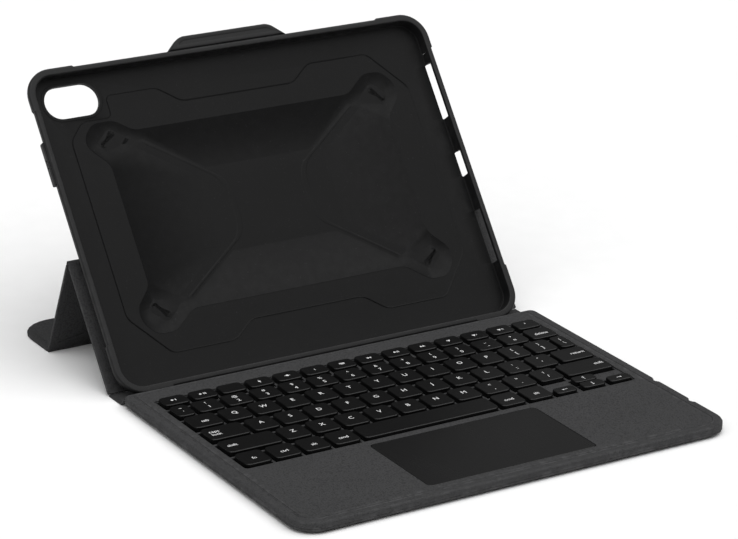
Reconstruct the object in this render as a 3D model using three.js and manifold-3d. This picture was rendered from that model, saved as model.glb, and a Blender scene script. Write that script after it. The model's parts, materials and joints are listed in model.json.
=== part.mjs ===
// A folding keyboard case for a 10.9 inch class tablet, standing open in its typing position.
// Millimetres, +Z up, -Y towards the typist. The table is z = 0. The origin is the middle of the
// footprint, from the front edge of the keyboard to the back edge of the floor flap.
//
// The case has three bodies in a row, joined by soft creases:
//   keyboard base  -  spine  -  tablet shell on its back panel  -  leg  -  floor flap
// The back panel, the leg and the flap are three lengths of one cover. Laid flat they are as long as the
// shell. Stood up, the leg and the flap prop the shell from behind.

import * as THREE from "three";
import { mergeVertices } from "three/addons/utils/BufferGeometryUtils.js";
import Module from "manifold-3d";

const wasm = await Module();
wasm.setup();

// ---- Driving dimensions -------------------------------------------------------------------------

const GAP = 0.3; // clearance between neighbouring pieces
const THIN_GAP = 0.1; // clearance between flat layers that lie on each other

// Keyboard base. Its back edge is at y = 0 in its own frame.
const BASE_HALF_WIDTH = 132;
const BASE_DEPTH = 186.4;
const BASE_FRONT_RADIUS = 14;
const BASE_BACK_RADIUS = 4;
const SKIN = 0.8; // covering under the base
const TRAY_TOP = 5.0;
const TRAY_WALL = 2.0;
const TRAY_FLOOR = 0.8;
const DECK_PLATE = [5.1, 6.0];
const TOP_SKIN = [6.1, 6.7];
const WELL = { left: -122.8, right: 122.8, front: -114.8, back: -14, radius: 3 };

// Keys
const KEY_PITCH = 17.64;
const KEY_GAP = 2.3;
const KEY_HALF_SPAN = 120.5; // the block of keys is this wide either side of the middle
const KEY_BOTTOM = 4.7;
const KEY_TOP = 8.5;
const KEY_CORNER = 2.4;
const KEY_EDGE = 0.6;
const KEY_HOLE_GAP = 0.4;
const STRIP = { low: 4.7, high: 5.0, width: 4 }; // joins the keys of one group under the deck plate

// Trackpad
const PAD = { width: 102.8, front: -175.9, back: -118.4, radius: 2.6, low: 5.3, high: 6.5 };

// Charging socket block and power switch, in a shallow recess of the right edge
const RECESS = { front: -152.2, back: -117.4, depth: 2 };
const SOCKET = { front: -139.9, back: -122.4, inner: 123, outer: 132, low: 0.9, high: 6.6 };
const PORT = { length: 9, height: 3.2, depth: 7, tongue: 6.7, tongue_thickness: 0.8 };
const SWITCH = { front: -149, back: -144, inner: 128, outer: 131.2, low: 2.3, high: 4.5, travel: 2.5 };

// Tablet shell. Its own frame: x across, y up the shell from the lower lip, z out of the lip plane.
const SHELL_TILT = THREE.MathUtils.degToRad(52.08);
const SHELL_FOOT = { y: 5.3, z: 3.6 }; // the lower lip edge, in the base's frame
const SHELL_HALF_WIDTH = 128.3;
const SHELL_HEIGHT = 187.5;
const SHELL_RADIUS = 15;
const SHELL_WALL = 4;
const POCKET_DEPTH = 7.5;
const RAIL_DEPTH = 6.6;
const SHELL_DEPTH = 9.3;
const BACK_CHAMFER = { across: 5.2, deep: 6.6 }; // keeps the lower rail parallel to the table
const LIP_BEVEL = 1;
const BUMPER_GROW = 0.8; // corner bumpers stand proud by this
const BUMPER_ARM = { across: 30, top: 22, bottom: 29 };
const CAMERA = { x: -101.7, y: 169.8, length: 33, width: 19 };
const SLOT_TOP = -2;
const SIDE_SLOTS = [
  [33, 65.5],
  [87, 102],
  [123, 157],
];
const BUTTON = { low: 122.4, high: 147.6, front: -1.9, back: -5.8 };
const GUARD = { base: 38, top: 29, rise: 7.8, front: -1, back: -6.6 };

// Cover behind the shell
const COVER = 1.6; // thickness of the back panel, the leg and the flap
const COVER_START = 4.9; // the back panel starts this far up the shell
const LEG_FOLD_AT = 81;
const LEG_LENGTH = 65.2;
const FLAP_LENGTH = 41;
const FLAP_RADIUS = 20;
const BEAD = 0.8; // radius of the folded edge at each crease
const LEG_CLEAR = 1.7; // stiffeners stop this far from the leg crease
const FLAP_CLEAR = 1.1;
const FLAP_WINDOW = { x: -100.7, length: 30, width: 19 };

// ---- Materials ----------------------------------------------------------------------------------

const material = (color, roughness, metalness = 0) =>
  new THREE.MeshStandardMaterial({ color, roughness, metalness });
const coverSkin = material(0x3c3c3e, 0.9);
const deckSkin = material(0x434345, 0.85);
const hardBlack = material(0x1c1c1e, 0.6);
const rubberBlack = material(0x202022, 0.7);
const keyBlack = material(0x0d0d0e, 0.35);
const padBlack = material(0x262628, 0.3);
const domeRubber = material(0x8c8c88, 0.7);
const boardGreen = material(0x1f4a33, 0.5);
const cellSilver = material(0xa9abb0, 0.4, 0.3);
const switchGrey = material(0x5a5a5e, 0.5);

// ---- Shapes and solids --------------------------------------------------------------------------

// A closed outline with one radius per corner, in the order front left, front right, back right, back left.
function roundedRect(x0, y0, x1, y1, radii) {
  const [a, b, c, d] = Array.isArray(radii) ? radii : [radii, radii, radii, radii];
  const shape = new THREE.Shape();
  const quarter = Math.PI / 2;
  shape.absarc(x0 + a, y0 + a, a, 2 * quarter, 3 * quarter);
  shape.absarc(x1 - b, y0 + b, b, 3 * quarter, 4 * quarter);
  shape.absarc(x1 - c, y1 - c, c, 0, quarter);
  shape.absarc(x0 + d, y1 - d, d, quarter, 2 * quarter);
  shape.closePath();
  return shape;
}

function pill(x, y, length, width) {
  const radius = Math.min(length, width) / 2 - 0.01;
  return roundedRect(x - length / 2, y - width / 2, x + length / 2, y + width / 2, radius);
}

// Extrudes an outline from z = low to z = high. The bevel is cut from the solid, not added to it.
function slab(shape, low, high, { bevel = 0, bevelAcross = bevel, steps = 1, round = 4 } = {}) {
  const geometry = new THREE.ExtrudeGeometry(shape, {
    depth: high - low - 2 * bevel,
    curveSegments: round,
    bevelEnabled: bevel > 0,
    bevelThickness: bevel,
    bevelSize: bevelAcross,
    bevelOffset: -bevelAcross,
    bevelSegments: steps,
  });
  return geometry.translate(0, 0, low + bevel);
}

function block(x0, y0, z0, x1, y1, z1) {
  const box = new THREE.BoxGeometry(x1 - x0, y1 - y0, z1 - z0);
  return box.translate((x0 + x1) / 2, (y0 + y1) / 2, (z0 + z1) / 2);
}

function toSolid(geometry) {
  const bare = geometry.clone();
  bare.deleteAttribute("normal");
  bare.deleteAttribute("uv");
  const merged = mergeVertices(bare, 1e-4);
  const mesh = new wasm.Mesh({
    numProp: 3,
    vertProperties: merged.attributes.position.array,
    triVerts: new Uint32Array(merged.index.array),
  });
  return new wasm.Manifold(mesh);
}

function toGeometry(solid) {
  const mesh = solid.getMesh();
  const geometry = new THREE.BufferGeometry();
  geometry.setAttribute("position", new THREE.BufferAttribute(mesh.vertProperties, 3));
  geometry.setIndex(new THREE.BufferAttribute(mesh.triVerts, 1));
  geometry.computeVertexNormals();
  return geometry;
}

const cutFrom = (solid, geometries) =>
  geometries.map(toSolid).reduce((left, one) => left.subtract(one), solid);

function place(group, name, geometry, look) {
  const mesh = new THREE.Mesh(geometry, look);
  mesh.name = name;
  group.add(mesh);
  return mesh;
}

// ---- Keyboard base ------------------------------------------------------------------------------

// The base's outline, moved inwards by an inset, with the recess of the socket and the switch in its
// right edge and, where wanted, a deeper bay for the socket block.
function baseOutline(inset, bay = 0) {
  const right = BASE_HALF_WIDTH - inset;
  const front = -BASE_DEPTH + inset;
  const frontRadius = BASE_FRONT_RADIUS - inset;
  const backRadius = BASE_BACK_RADIUS - inset / 2;
  const step = right - RECESS.depth;
  const quarter = Math.PI / 2;
  const shape = new THREE.Shape();
  shape.absarc(-right + frontRadius, front + frontRadius, frontRadius, 2 * quarter, 3 * quarter);
  shape.absarc(right - frontRadius, front + frontRadius, frontRadius, 3 * quarter, 4 * quarter);
  shape.lineTo(right, RECESS.front);
  shape.lineTo(step, RECESS.front + RECESS.depth);
  if (bay > 0) {
    shape.lineTo(step, SOCKET.front - GAP);
    shape.lineTo(step - bay, SOCKET.front - GAP);
    shape.lineTo(step - bay, SOCKET.back + GAP);
    shape.lineTo(step, SOCKET.back + GAP);
  }
  shape.lineTo(step, RECESS.back - RECESS.depth);
  shape.lineTo(right, RECESS.back);
  shape.absarc(right - backRadius, -inset - backRadius, backRadius, 0, quarter);
  shape.absarc(-right + backRadius, -inset - backRadius, backRadius, quarter, 2 * quarter);
  shape.closePath();
  return shape;
}

const bayFor = (inset) => BASE_HALF_WIDTH - inset - RECESS.depth - SOCKET.inner + GAP;

function padHole(clearance) {
  const half = PAD.width / 2 + clearance;
  return roundedRect(-half, PAD.front - clearance, half, PAD.back + clearance, PAD.radius);
}

function bottomSkin() {
  return slab(baseOutline(0, 0), 0, SKIN);
}

function tray() {
  const low = SKIN + THIN_GAP;
  const outer = slab(baseOutline(0.6, bayFor(0.6)), low, TRAY_TOP);
  const hollow = slab(
    roundedRect(
      -BASE_HALF_WIDTH + TRAY_WALL + 0.6,
      -BASE_DEPTH + TRAY_WALL + 0.6,
      SOCKET.inner - GAP - TRAY_WALL,
      -TRAY_WALL - 0.6,
      [BASE_FRONT_RADIUS - TRAY_WALL, 6, 3, 3],
    ),
    low + TRAY_FLOOR,
    TRAY_TOP + 1,
  );
  const switchBay = block(
    SWITCH.inner - GAP,
    SWITCH.front - GAP,
    SWITCH.low - GAP,
    BASE_HALF_WIDTH + 1,
    SWITCH.back + SWITCH.travel + GAP,
    SWITCH.high + GAP,
  );
  return toGeometry(cutFrom(toSolid(outer), [hollow, switchBay]));
}

function topSkin() {
  const shape = baseOutline(0, bayFor(0));
  shape.holes.push(roundedRect(WELL.left, WELL.front, WELL.right, WELL.back, WELL.radius));
  shape.holes.push(padHole(GAP));
  return slab(shape, TOP_SKIN[0], TOP_SKIN[1]);
}

function deckPlate(keys) {
  const plate = toSolid(slab(baseOutline(1, bayFor(1)), DECK_PLATE[0], DECK_PLATE[1]));
  const c = KEY_HOLE_GAP;
  const holes = keys.map(({ box: [x0, y0, x1, y1] }) =>
    block(x0 - c, y0 - c, KEY_BOTTOM, x1 + c, y1 + c, KEY_TOP),
  );
  holes.push(slab(padHole(GAP), KEY_BOTTOM, KEY_TOP));
  return toGeometry(cutFrom(plate, holes));
}

// A plastic block in the right edge with an oval socket and its tongue.
function chargeSocket() {
  const middle = (SOCKET.front + SOCKET.back) / 2;
  const height = 3.6;
  const body = block(
    SOCKET.inner,
    SOCKET.front,
    SOCKET.low,
    SOCKET.outer,
    SOCKET.back,
    SOCKET.high,
  );
  const mouth = slab(pill(0, 0, PORT.height, PORT.length), 0, PORT.depth + 1)
    .rotateY(Math.PI / 2)
    .translate(SOCKET.outer - PORT.depth, middle, height);
  const tongue = block(
    SOCKET.outer - PORT.depth - 0.5,
    middle - PORT.tongue / 2,
    height - PORT.tongue_thickness / 2,
    SOCKET.outer - 1,
    middle + PORT.tongue / 2,
    height + PORT.tongue_thickness / 2,
  );
  return toGeometry(cutFrom(toSolid(body), [mouth]).add(toSolid(tongue)));
}

// ---- Keys ---------------------------------------------------------------------------------------

const ROWS = [
  { y: -21.5, depth: 10.7 },
  { y: -35.9, depth: 13.8 },
  { y: -52.4, depth: 15.3 },
  { y: -70.1, depth: 15.3 },
  { y: -87.9, depth: 15.3 },
  { y: -105.6, depth: 15.3 },
];
const LETTER_ROWS = [
  { row: 2, first: -92.97, letters: "qwertyuiop", after: 2 },
  { row: 3, first: -87.13, letters: "asdfghjkl", after: 2 },
  { row: 4, first: -78.44, letters: "zxcvbnm", after: 3 },
];
const FUNCTION_KEYS = 14;
const FUNCTION_PITCH = 17.29;
const DIGIT_KEYS = 12;
const DIGIT_FIRST = -100.29;
const BOTTOM_LEFT_KEYS = 4;
const BOTTOM_RIGHT_FROM = 35.5;

function keyBox(row, left, right, low = 0, high = 1) {
  const { y, depth } = ROWS[row];
  const bottom = y - depth / 2 + low * depth;
  const top = y - depth / 2 + high * depth;
  return [left, bottom, right, top];
}

function layOutKeys() {
  const keys = [];
  const add = (group, box) => keys.push({ group, box });
  const cap = KEY_PITCH - KEY_GAP;
  const capAt = (row, middle) => keyBox(row, middle - cap / 2, middle + cap / 2);

  const functionCap = FUNCTION_PITCH - KEY_GAP;
  for (let i = 0; i < FUNCTION_KEYS; i += 1) {
    const middle = (i - (FUNCTION_KEYS - 1) / 2) * FUNCTION_PITCH;
    add("function_row", keyBox(0, middle - functionCap / 2, middle + functionCap / 2));
  }

  const digitsLeft = DIGIT_FIRST - cap / 2;
  const digitsRight = digitsLeft + DIGIT_KEYS * KEY_PITCH;
  add("number_row", keyBox(1, -KEY_HALF_SPAN, digitsLeft - KEY_GAP));
  for (let i = 0; i < DIGIT_KEYS; i += 1) {
    add("number_row", capAt(1, DIGIT_FIRST + i * KEY_PITCH));
  }
  add("number_row", keyBox(1, digitsRight, KEY_HALF_SPAN));

  for (const { row, first, letters, after } of LETTER_ROWS) {
    add("left_modifiers", keyBox(row, -KEY_HALF_SPAN, first - cap / 2 - KEY_GAP));
    [...letters].forEach((letter, i) => add("key_" + letter, capAt(row, first + i * KEY_PITCH)));
    for (let i = 0; i < after; i += 1) {
      add("right_modifiers", capAt(row, first + (letters.length + i) * KEY_PITCH));
    }
    const used = first - cap / 2 + (letters.length + after) * KEY_PITCH;
    add("right_modifiers", keyBox(row, used, KEY_HALF_SPAN));
  }

  for (let i = 0; i < BOTTOM_LEFT_KEYS; i += 1) {
    const left = -KEY_HALF_SPAN + i * KEY_PITCH;
    add("left_modifiers", keyBox(5, left, left + cap));
  }
  const spaceLeft = -KEY_HALF_SPAN + BOTTOM_LEFT_KEYS * KEY_PITCH;
  add("key_space", keyBox(5, spaceLeft, BOTTOM_RIGHT_FROM - KEY_GAP));
  const bottomRight = (i) => BOTTOM_RIGHT_FROM + i * KEY_PITCH;
  for (let i = 0; i < 2; i += 1) {
    add("right_modifiers", keyBox(5, bottomRight(i), bottomRight(i) + cap));
  }
  const lower = 0.47;
  const upper = 0.53;
  const last = KEY_HALF_SPAN - cap;
  const arrowMiddle = (bottomRight(2) + last) / 2;
  add("arrow_keys", keyBox(5, bottomRight(2), arrowMiddle - KEY_GAP / 2 - 2.6, 0, lower));
  add("arrow_keys", keyBox(5, bottomRight(3) - 0.2, bottomRight(3) - 0.2 + cap - 0.8, 0, lower));
  add("arrow_keys", keyBox(5, bottomRight(3) - 0.2, bottomRight(3) - 0.2 + cap - 0.8, upper, 1));
  add("arrow_keys", keyBox(5, last + 0.6, KEY_HALF_SPAN, 0, lower));
  return keys;
}

// One cap: an eight-sided block whose top edge is bevelled.
function keyCap([x0, y0, x1, y1]) {
  const shape = roundedRect(x0, y0, x1, y1, Math.min(KEY_CORNER, (y1 - y0) / 4));
  const both = slab(shape, 2 * KEY_BOTTOM - KEY_TOP, KEY_TOP, { bevel: KEY_EDGE, round: 1 });
  return cutFrom(toSolid(both), [block(x0 - 1, y0 - 1, 0, x1 + 1, y1 + 1, KEY_BOTTOM)]);
}

// The caps of one group, joined under the deck plate: a level strip along each row, and one upright
// strip between two rows, where a key of each has the longest stretch in common.
function keyGroup(boxes) {
  const half = STRIP.width / 2;
  const rows = [...new Set(boxes.map((box) => box[1]))].map((y) => boxes.filter((box) => box[1] === y));
  const parts = boxes.map(keyCap);
  for (const row of rows.filter((one) => one.length > 1)) {
    const lefts = row.map((box) => box[0]);
    const rights = row.map((box) => box[2]);
    const y = (row[0][1] + row[0][3]) / 2;
    const [from, to] = [Math.min(...lefts) + 2, Math.max(...rights) - 2];
    parts.push(toSolid(block(from, y - half, STRIP.low, to, y + half, STRIP.high)));
  }
  for (let i = 1; i < rows.length; i += 1) {
    const pairs = rows[i - 1].flatMap((upper) => rows[i].map((lower) => ({ upper, lower })));
    for (const pair of pairs) {
      pair.left = Math.max(pair.upper[0], pair.lower[0]);
      pair.right = Math.min(pair.upper[2], pair.lower[2]);
    }
    pairs.sort((one, other) => other.right - other.left - (one.right - one.left));
    const { upper, lower, left, right } = pairs[0];
    const x = (left + right) / 2;
    const low = Math.min(upper[1], lower[1]) + 1;
    const high = Math.max(upper[3], lower[3]) - 1;
    parts.push(toSolid(block(x - half, low, STRIP.low, x + half, high, STRIP.high)));
  }
  return toGeometry(parts.reduce((all, one) => all.add(one)));
}

// ---- Tablet shell -------------------------------------------------------------------------------

// The whole shell as one block, grown sideways by an amount, with a small bevel on the lip and a large
// chamfer towards its back.
function shellBlock(grow) {
  const outline = roundedRect(
    -SHELL_HALF_WIDTH - grow,
    -grow,
    SHELL_HALF_WIDTH + grow,
    SHELL_HEIGHT + grow,
    SHELL_RADIUS + grow,
  );
  const chamfered = slab(outline, -SHELL_DEPTH, 2 * SHELL_DEPTH, {
    bevel: BACK_CHAMFER.deep,
    bevelAcross: BACK_CHAMFER.across,
    round: 5,
  });
  const lipped = slab(outline, -2 * SHELL_DEPTH, 0, { bevel: LIP_BEVEL, round: 5 });
  return toSolid(chamfered).intersect(toSolid(lipped));
}

function pocket(low, high) {
  const outline = roundedRect(
    -SHELL_HALF_WIDTH + SHELL_WALL,
    SHELL_WALL,
    SHELL_HALF_WIDTH - SHELL_WALL,
    SHELL_HEIGHT - SHELL_WALL,
    SHELL_RADIUS - SHELL_WALL,
  );
  return slab(outline, low, high, { round: 5 });
}

const FAR = 200;
const sideSlots = () =>
  SIDE_SLOTS.map(([low, high]) => block(110, low, -POCKET_DEPTH, FAR, high, SLOT_TOP));

function shellPlate() {
  const lower = block(-FAR, -FAR, -SHELL_DEPTH - 1, FAR, FAR, -RAIL_DEPTH - THIN_GAP * 2);
  const hole = slab(pill(CAMERA.x, CAMERA.y, CAMERA.length, CAMERA.width), -20, 5, { round: 6 });
  const plate = shellBlock(0).intersect(toSolid(lower));
  return toGeometry(cutFrom(plate, [pocket(-POCKET_DEPTH, 5), hole, ...sideSlots()]));
}

function ring(grow) {
  const upper = block(-FAR, -FAR, -RAIL_DEPTH, FAR, FAR, 5);
  return cutFrom(shellBlock(grow).intersect(toSolid(upper)), [pocket(-20, 5)]);
}

function shellBodies(group) {
  const rails = ring(0);
  const bumpers = ring(BUMPER_GROW);
  const inner = SHELL_HALF_WIDTH - BUMPER_ARM.across;
  const low = BUMPER_ARM.bottom;
  const high = SHELL_HEIGHT - BUMPER_ARM.top;
  const window = (x0, y0, x1, y1) => toSolid(block(x0, y0, -SHELL_DEPTH, x1, y1, 5));

  const buttonHole = block(
    -FAR,
    BUTTON.low - GAP,
    BUTTON.back - GAP,
    0,
    BUTTON.high + GAP,
    BUTTON.front + GAP,
  );
  const railWindows = {
    rail_top: window(-inner + GAP, high, inner - GAP, FAR),
    rail_bottom: window(-inner + GAP, -FAR, inner - GAP, low),
    rail_left: window(-FAR, low + GAP, 0, high - GAP),
    rail_right: window(0, low + GAP, FAR, high - GAP),
  };
  const cuts = { rail_left: [buttonHole], rail_right: sideSlots() };
  for (const [name, part] of Object.entries(railWindows)) {
    const rail = cutFrom(rails.intersect(part), cuts[name] ?? []);
    place(group, name, toGeometry(rail), rubberBlack);
  }

  const bumperWindows = {
    bumper_bottom_left: window(-FAR, -FAR, -inner, low),
    bumper_bottom_right: window(inner, -FAR, FAR, low),
    bumper_top_left: window(-FAR, high, -inner, FAR),
    bumper_top_right: window(inner, high, FAR, FAR),
  };
  for (const [name, part] of Object.entries(bumperWindows)) {
    place(group, name, toGeometry(bumpers.intersect(part)), rubberBlack);
  }

  const cover = block(-FAR, BUTTON.low, BUTTON.back, -100, BUTTON.high, BUTTON.front);
  const button = cutFrom(shellBlock(BUMPER_GROW).intersect(toSolid(cover)), [pocket(-20, 5)]);
  place(group, "power_button_cover", toGeometry(button), rubberBlack);
}

// A raised bar along the middle of the top rail, with sloping ends.
function stylusGuard() {
  const shape = new THREE.Shape();
  const foot = SHELL_HEIGHT + GAP;
  shape.moveTo(-GUARD.base, foot);
  shape.lineTo(GUARD.base, foot);
  shape.lineTo(GUARD.top, foot + GUARD.rise);
  shape.lineTo(-GUARD.top, foot + GUARD.rise);
  shape.closePath();
  return slab(shape, GUARD.back, GUARD.front, { bevel: 0.8 });
}

// ---- Cover --------------------------------------------------------------------------------------

function backPanel() {
  const top = -SHELL_DEPTH - GAP;
  const shape = roundedRect(
    -BASE_HALF_WIDTH,
    COVER_START,
    BASE_HALF_WIDTH,
    LEG_FOLD_AT - LEG_CLEAR,
    1,
  );
  return slab(shape, top - COVER, top, { round: 1 });
}

// The soft strip from the base's back edge, down to the table and under the shell's lower rail.
function spineFabric() {
  const shape = new THREE.Shape();
  const outline = [
    [0.4, 5.1],
    [2.9, 1.2],
    [4.4, 0.1],
    [15.3, 0.1],
    [15.3, 0.8],
    [5.1, 0.8],
    [3.7, 1.6],
    [1.5, 5.5],
    [0.4, 6],
  ];
  outline.forEach(([y, z], i) => (i === 0 ? shape.moveTo(y, z) : shape.lineTo(y, z)));
  shape.closePath();
  const width = 2 * (BASE_HALF_WIDTH - 1);
  const geometry = slab(shape, -width / 2, width / 2);
  // the outline's own x and y become y and z, and its depth becomes x
  const turn = new THREE.Matrix4().makeBasis(
    new THREE.Vector3(0, 1, 0),
    new THREE.Vector3(0, 0, 1),
    new THREE.Vector3(1, 0, 0),
  );
  return geometry.applyMatrix4(turn);
}

// The folded edge at a crease: a thin rod across the cover.
function creaseBead(halfWidth) {
  const rod = new THREE.CylinderGeometry(BEAD, BEAD, 2 * halfWidth, 10);
  return rod.rotateZ(Math.PI / 2);
}

function legPanel() {
  const shape = roundedRect(
    -BASE_HALF_WIDTH,
    LEG_CLEAR,
    BASE_HALF_WIDTH,
    LEG_LENGTH - FLAP_CLEAR,
    1,
  );
  return slab(shape, -COVER / 2, COVER / 2, { round: 1 });
}

function flapPanel() {
  const shape = roundedRect(-BASE_HALF_WIDTH, FLAP_CLEAR, BASE_HALF_WIDTH, FLAP_LENGTH, [
    1,
    1,
    FLAP_RADIUS,
    FLAP_RADIUS,
  ]);
  const windowY = CAMERA.y - LEG_FOLD_AT - LEG_LENGTH;
  shape.holes.push(pill(FLAP_WINDOW.x, windowY, FLAP_WINDOW.length, FLAP_WINDOW.width));
  return slab(shape, -COVER / 2, COVER / 2, { round: 6 });
}

// ---- Assembly -----------------------------------------------------------------------------------

const model = new THREE.Group();
const base = new THREE.Group();
const shell = new THREE.Group();
const leg = new THREE.Group();
const flap = new THREE.Group();

// The creases, in the base's frame: the leg's at the top of the back panel, the flap's on the table.
const panelMiddle = -SHELL_DEPTH - GAP - COVER / 2;
const legFold = {
  y: SHELL_FOOT.y + LEG_FOLD_AT * Math.cos(SHELL_TILT) - panelMiddle * Math.sin(SHELL_TILT),
  z: SHELL_FOOT.z + LEG_FOLD_AT * Math.sin(SHELL_TILT) + panelMiddle * Math.cos(SHELL_TILT),
};
const legDrop = legFold.z - COVER / 2;
const flapFold = {
  y: legFold.y + Math.sqrt(LEG_LENGTH ** 2 - legDrop ** 2),
  z: COVER / 2,
};
const legLean = Math.atan2(-legDrop, flapFold.y - legFold.y);

// Centre the footprint on the origin.
model.position.y = (BASE_DEPTH - flapFold.y - FLAP_LENGTH) / 2;
shell.position.set(0, SHELL_FOOT.y, SHELL_FOOT.z);
shell.rotation.x = SHELL_TILT;
leg.position.set(0, legFold.y, legFold.z);
leg.rotation.x = legLean;
flap.position.set(0, flapFold.y, flapFold.z);
model.add(base, shell, leg, flap);

const keys = layOutKeys();
place(base, "base_bottom_skin", bottomSkin(), coverSkin);
place(base, "base_tray", tray(), hardBlack);
place(base, "deck_plate", deckPlate(keys), hardBlack);
place(base, "base_top_skin", topSkin(), deckSkin);
place(base, "circuit_board", block(-119, -112, 2, 117, -17, 2.8), boardGreen);
place(base, "dome_sheet", block(-118, -113, 2.9, 117.5, -15, 3.3), domeRubber);
place(base, "battery_left", block(-118, -174, 2, -58, -122, 4.6), cellSilver);
place(base, "battery_right", block(58, -174, 2, 115, -122, 4.6), cellSilver);
place(base, "charge_socket", chargeSocket(), hardBlack);
place(
  base,
  "power_switch",
  block(SWITCH.inner, SWITCH.front, SWITCH.low, SWITCH.outer, SWITCH.back, SWITCH.high),
  switchGrey,
);
place(base, "trackpad", slab(padHole(0), PAD.low, PAD.high), padBlack);
for (const name of new Set(keys.map((key) => key.group))) {
  const boxes = keys.filter((key) => key.group === name).map((key) => key.box);
  place(base, name, keyGroup(boxes), keyBlack);
}
place(base, "spine_fabric", spineFabric(), coverSkin);

place(shell, "shell_plate", shellPlate(), hardBlack);
shellBodies(shell);
place(shell, "stylus_guard", stylusGuard(), rubberBlack);
place(shell, "back_panel", backPanel(), coverSkin);

place(leg, "leg_crease", creaseBead(BASE_HALF_WIDTH - 1), coverSkin);
place(leg, "leg_panel", legPanel(), coverSkin);
place(flap, "flap_crease", creaseBead(BASE_HALF_WIDTH - 1), coverSkin);
place(flap, "flap_panel", flapPanel(), coverSkin);

export default model;
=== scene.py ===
# %% [markdown]
# # A folding keyboard case for a tablet, standing open
# The case is a thin keyboard base, a soft spine, a rugged tray that holds the tablet, and a cover whose
# lower half folds out behind as a stand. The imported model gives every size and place. This script puts
# the finished surfaces around it: moulded rubber, grained skin, key caps with their legends.

# %% Load the frame
import json
import math

import bmesh
import bpy
from mathutils import Matrix, Vector


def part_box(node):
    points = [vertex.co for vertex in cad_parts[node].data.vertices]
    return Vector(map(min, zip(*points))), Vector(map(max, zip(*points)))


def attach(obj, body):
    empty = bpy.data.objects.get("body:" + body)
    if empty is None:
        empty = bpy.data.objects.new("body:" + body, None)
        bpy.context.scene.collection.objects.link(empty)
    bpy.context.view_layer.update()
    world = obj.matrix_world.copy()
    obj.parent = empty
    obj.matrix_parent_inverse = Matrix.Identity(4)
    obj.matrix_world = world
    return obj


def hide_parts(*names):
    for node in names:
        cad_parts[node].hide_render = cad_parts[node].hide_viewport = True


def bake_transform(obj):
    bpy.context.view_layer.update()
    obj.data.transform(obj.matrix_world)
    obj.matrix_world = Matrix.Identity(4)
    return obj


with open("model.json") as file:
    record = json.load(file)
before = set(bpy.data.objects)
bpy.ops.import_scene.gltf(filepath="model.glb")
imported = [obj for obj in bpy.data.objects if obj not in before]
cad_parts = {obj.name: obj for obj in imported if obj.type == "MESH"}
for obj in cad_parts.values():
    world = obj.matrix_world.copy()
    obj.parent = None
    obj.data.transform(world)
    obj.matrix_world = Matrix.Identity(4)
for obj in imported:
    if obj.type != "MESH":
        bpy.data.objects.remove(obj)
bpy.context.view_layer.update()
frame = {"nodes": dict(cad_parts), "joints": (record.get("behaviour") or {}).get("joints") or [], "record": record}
nodes = frame["nodes"]
mounts = {mount["name"]: mount for mount in frame["record"]["mounts"]}
hinge_at = {joint["name"]: Vector(joint["pos_m"]) for joint in frame["joints"] if "pos_m" in joint}
print(len(nodes), "nodes")

# %% [markdown]
# ## Working in each part's own frame
# The tablet tray leans back and the leg slopes down, so each is drawn flat, in millimetres, in a frame
# of its own: x across, y along the part, z out of its face. One matrix then carries the finished mesh to
# its place in metres. The frames come from the seat of the tablet and from the hinges.

# %% The four frames
MM = 0.001
ACROSS = Vector((1, 0, 0))


def frame_at(origin, along):
    """The matrix from a part's own millimetres to the model's metres."""
    out = ACROSS.cross(along)
    turn = Matrix((ACROSS, along, out)).transposed().to_4x4()
    return Matrix.Translation(origin) @ turn @ Matrix.Scale(MM, 4)


base_low, base_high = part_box("base_bottom_skin")
BASE_WIDTH = (base_high.x - base_low.x) / MM
BASE_DEPTH = (base_high.y - base_low.y) / MM
deck_frame = frame_at(Vector((0, base_high.y, 0)), Vector((0, 1, 0)))

SEAT_UP = 100  # the seat's point is this far up the tray
POCKET = 7.5  # and this far below its lip
seat = mounts["tablet_seat"]
lip_out = Vector(seat["axis"]).normalized()
tray_along = lip_out.cross(ACROSS)
tray_origin = Vector(seat["pos_m"]) - tray_along * SEAT_UP * MM + lip_out * POCKET * MM
tray_frame = frame_at(tray_origin, tray_along)

leg_fold = hinge_at["leg_turn"]
flap_fold = hinge_at["flap_turn"]
leg_along = (flap_fold - leg_fold).normalized()
leg_frame = frame_at(leg_fold, leg_along)
flap_frame = frame_at(flap_fold, Vector((0, 1, 0)))
print("tray leans", round(math.degrees(math.atan2(tray_along.z, tray_along.y)), 1), "degrees")

# %% [markdown]
# ## Shader maths as expressions
# A finish is mostly sums of noises. A small class wraps a socket, so that `grain * 0.5 + wear` adds the
# Math nodes by itself, and a second class holds one material with its Principled shader.


# %% Wires and finishes
class Wire:
    """A number inside a material. Adding or multiplying wires adds Math nodes."""

    def __init__(self, finish, socket):
        self.finish = finish
        self.socket = socket

    def math(self, operation, first, second, clamp=False):
        settings = {"operation": operation, "use_clamp": clamp}
        return self.finish.node("ShaderNodeMath", settings, {0: first, 1: second})

    def __add__(self, other):
        return self.math("ADD", self, other)

    def __sub__(self, other):
        return self.math("SUBTRACT", self, other)

    def __rsub__(self, other):
        return self.math("SUBTRACT", other, self)

    def __mul__(self, other):
        return self.math("MULTIPLY", self, other)

    __radd__ = __add__
    __rmul__ = __mul__

    def above(self, low, high):
        """0 where the wire is under low, 1 where it is over high, and a smooth rise between."""
        settings = {"interpolation_type": "SMOOTHSTEP"}
        values = {"Value": self, "From Min": low, "From Max": high}
        return self.finish.node("ShaderNodeMapRange", settings, values)


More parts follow.
